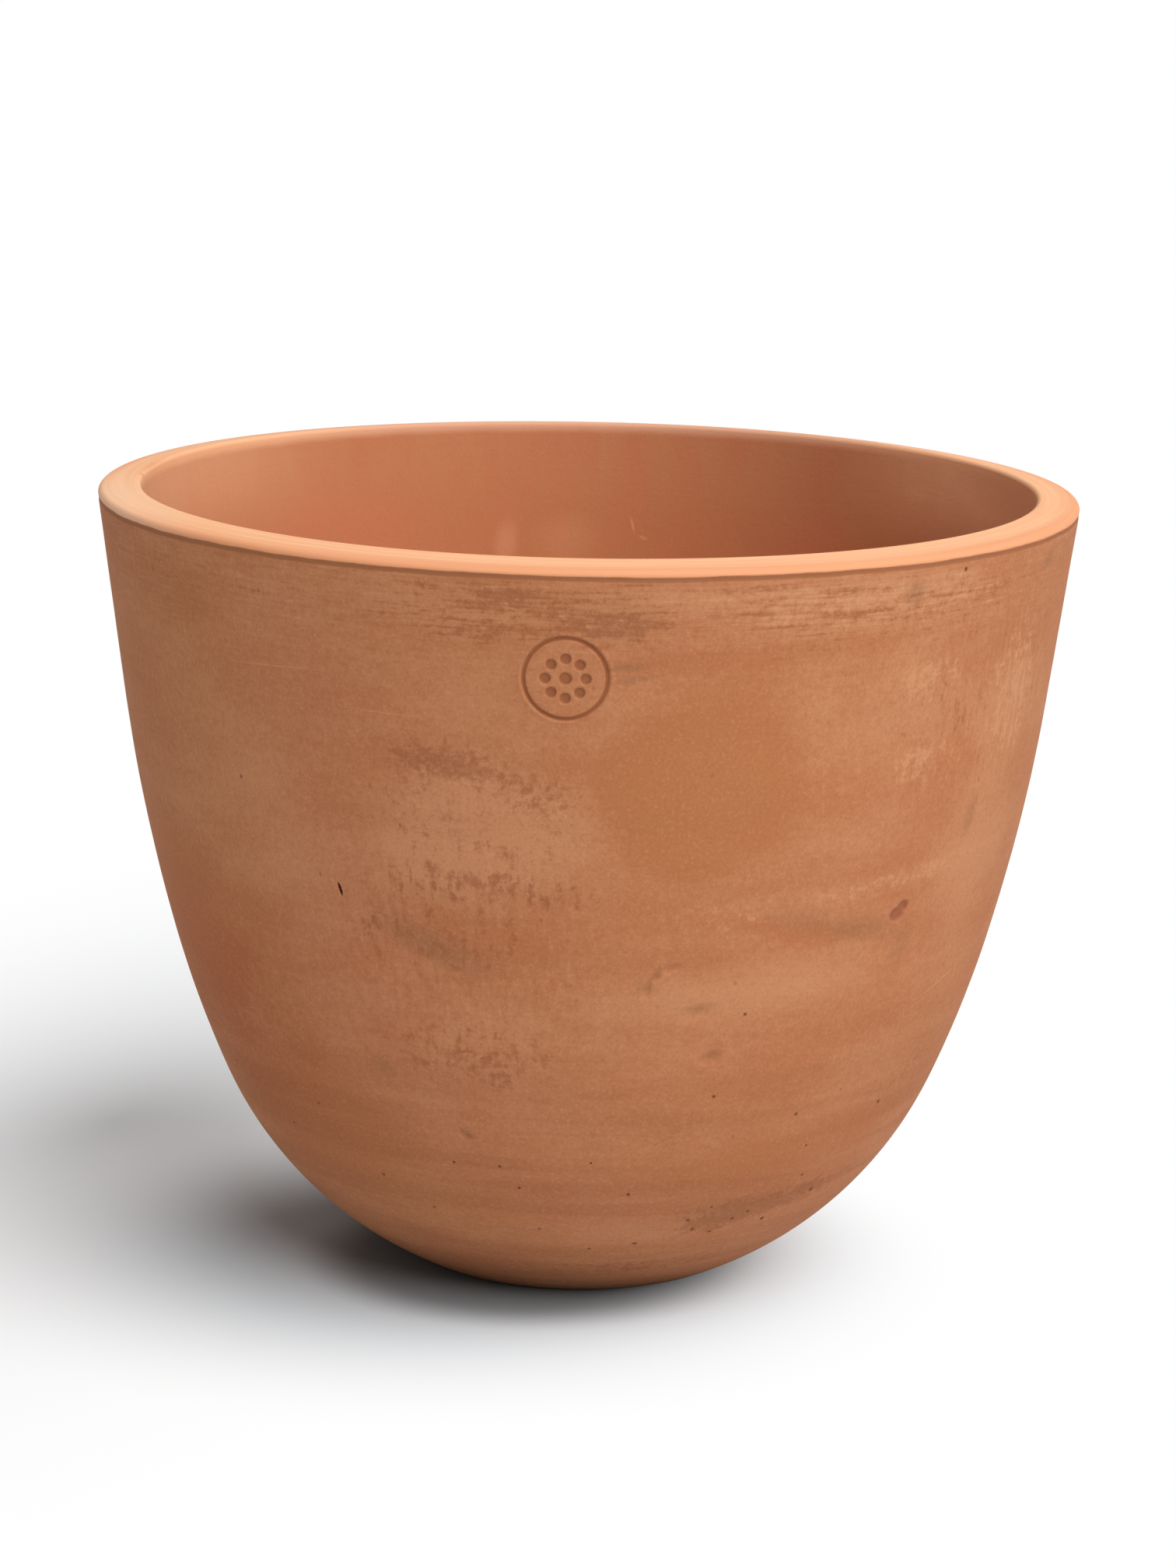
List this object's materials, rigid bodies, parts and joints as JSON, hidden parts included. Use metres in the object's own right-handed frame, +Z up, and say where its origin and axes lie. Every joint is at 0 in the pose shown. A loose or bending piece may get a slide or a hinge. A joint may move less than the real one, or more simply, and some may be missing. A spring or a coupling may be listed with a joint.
{
  "type": "terracotta planter pot",
  "caption": "Large wide-mouthed terracotta pot with a thick rim cut square, a wall that leans in to a round bottom, a flat foot and a central drain hole.",
  "frame": {"origin": "on the ground, at the middle of the flat foot, under the pot's axis", "axes": "+Z up along the pot's axis; -Y is the front, where the round seal is pressed into the wall; +X is to the viewer's right"},
  "size_m": [0.5989, 0.5989, 0.4833],
  "materials": {
    "terracotta_body": "unglazed fired clay, matte, with a pale lime bloom, brushed smears and small pits",
    "terracotta_rim": "unglazed fired clay, sponged smooth, matte, cleaner and paler than the wall"
  },
  "bodies": {
    "root": {"base_disc": "terracotta_body", "lower_bowl": "terracotta_body", "belly_wall": "terracotta_body", "upper_wall": "terracotta_body", "rim_ring": "terracotta_rim"}
  },
  "joints": []
}
